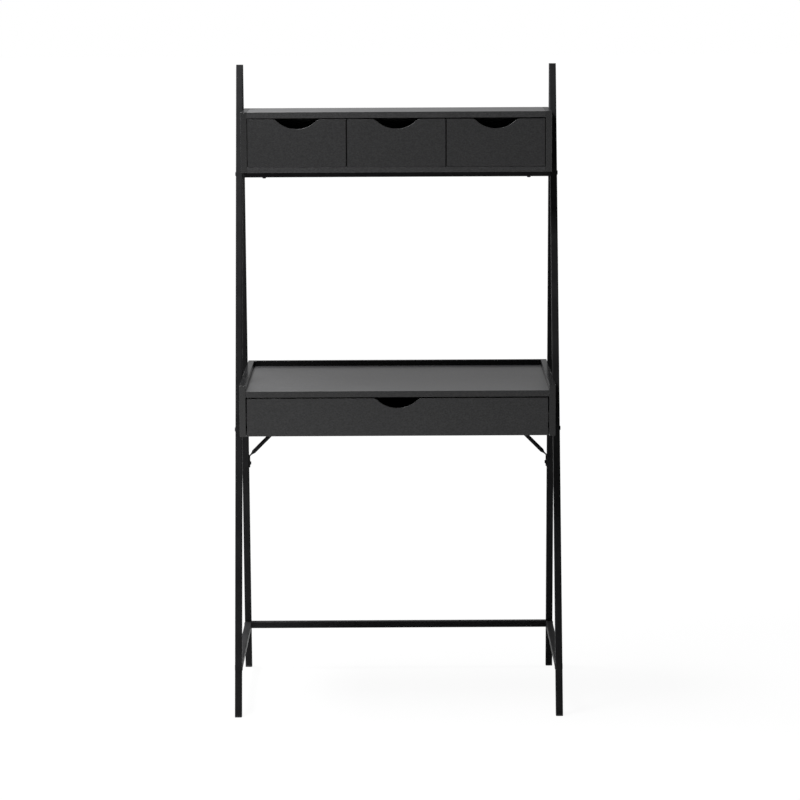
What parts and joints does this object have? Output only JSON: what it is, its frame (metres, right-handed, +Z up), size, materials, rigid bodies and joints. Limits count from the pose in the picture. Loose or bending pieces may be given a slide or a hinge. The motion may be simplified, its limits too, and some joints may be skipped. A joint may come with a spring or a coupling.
{
  "type": "ladder desk",
  "caption": "Black ladder desk: slim steel A-frames carry a rimmed worktop with a wide drawer and, above it, a hutch with a row of small drawers with finger scoops.",
  "frame": {"origin": "on the floor, at the centre of the box round the whole desk", "axes": "+Z up, +Y away from the sitter towards the wall, +X to the sitter's right"},
  "size_m": [0.7502, 0.48, 1.46],
  "materials": {
    "powder_coat": "matt black powder coat with a faint grain",
    "black_board": "board faced with black melamine, satin, with banded edges",
    "hardboard": "matt black-faced fibreboard",
    "cap_plastic": "moulded black plastic",
    "black_bolt": "black oxide",
    "zinc_steel": "zinc plated and passivated black"
  },
  "bodies": {
    "frame": {"brace_screws": "black_bolt", "cross_bar_bolts": "black_bolt", "desk_back": "black_board", "desk_cross_tube": "powder_coat", "desk_floor": "black_board", "desk_floor_screws": "black_bolt", "desk_left_side": "black_board", "desk_right_side": "black_board", "desk_side_bolts": "black_bolt", "desk_side_inserts": "zinc_steel", "desk_tube_bolts": "black_bolt", "front_foot_caps": "cap_plastic", "hutch_back": "black_board", "hutch_cross_tube": "powder_coat", "hutch_floor": "black_board", "hutch_floor_screws": "black_bolt", "hutch_left_divider": "hardboard", "hutch_left_side": "black_board", "hutch_right_divider": "hardboard", "hutch_right_side": "black_board", "hutch_side_bolts": "black_bolt", "hutch_side_inserts": "zinc_steel", "hutch_top": "black_board", "hutch_tube_bolts": "black_bolt", "left_case_runner": "zinc_steel", "left_corner_brace": "powder_coat", "left_front_leg": "powder_coat", "left_rear_leg": "powder_coat", "left_side_stretcher": "powder_coat", "leg_top_caps": "cap_plastic", "rear_cross_bar": "powder_coat", "rear_foot_caps": "cap_plastic", "right_case_runner": "zinc_steel", "right_corner_brace": "powder_coat", "right_front_leg": "powder_coat", "right_rear_leg": "powder_coat", "right_side_stretcher": "powder_coat", "worktop": "black_board"},
    "hutch_left_drawer": {"hutch_left_drawer_back": "black_board", "hutch_left_drawer_bottom": "hardboard", "hutch_left_drawer_front": "black_board", "hutch_left_drawer_left_side": "black_board", "hutch_left_drawer_right_side": "black_board"},
    "hutch_middle_drawer": {"hutch_middle_drawer_back": "black_board", "hutch_middle_drawer_bottom": "hardboard", "hutch_middle_drawer_front": "black_board", "hutch_middle_drawer_left_side": "black_board", "hutch_middle_drawer_right_side": "black_board"},
    "hutch_right_drawer": {"hutch_right_drawer_back": "black_board", "hutch_right_drawer_bottom": "hardboard", "hutch_right_drawer_front": "black_board", "hutch_right_drawer_left_side": "black_board", "hutch_right_drawer_right_side": "black_board"},
    "desk_drawer": {"desk_drawer_back": "black_board", "desk_drawer_bottom": "hardboard", "desk_drawer_front": "black_board", "desk_drawer_left_side": "black_board", "desk_drawer_right_side": "black_board", "left_drawer_runner": "zinc_steel", "right_drawer_runner": "zinc_steel"}
  },
  "joints": [
    {"name": "desk_drawer_slide", "type": "slide", "parent": "frame", "child": "desk_drawer", "axis": [0, -1, 0], "range_m": [0, 0.25]},
    {"name": "hutch_left_drawer_slide", "type": "slide", "parent": "frame", "child": "hutch_left_drawer", "axis": [0, -1, 0], "range_m": [0, 0.11]},
    {"name": "hutch_middle_drawer_slide", "type": "slide", "parent": "frame", "child": "hutch_middle_drawer", "axis": [0, -1, 0], "range_m": [0, 0.11]},
    {"name": "hutch_right_drawer_slide", "type": "slide", "parent": "frame", "child": "hutch_right_drawer", "axis": [0, -1, 0], "range_m": [0, 0.11]}
  ]
}
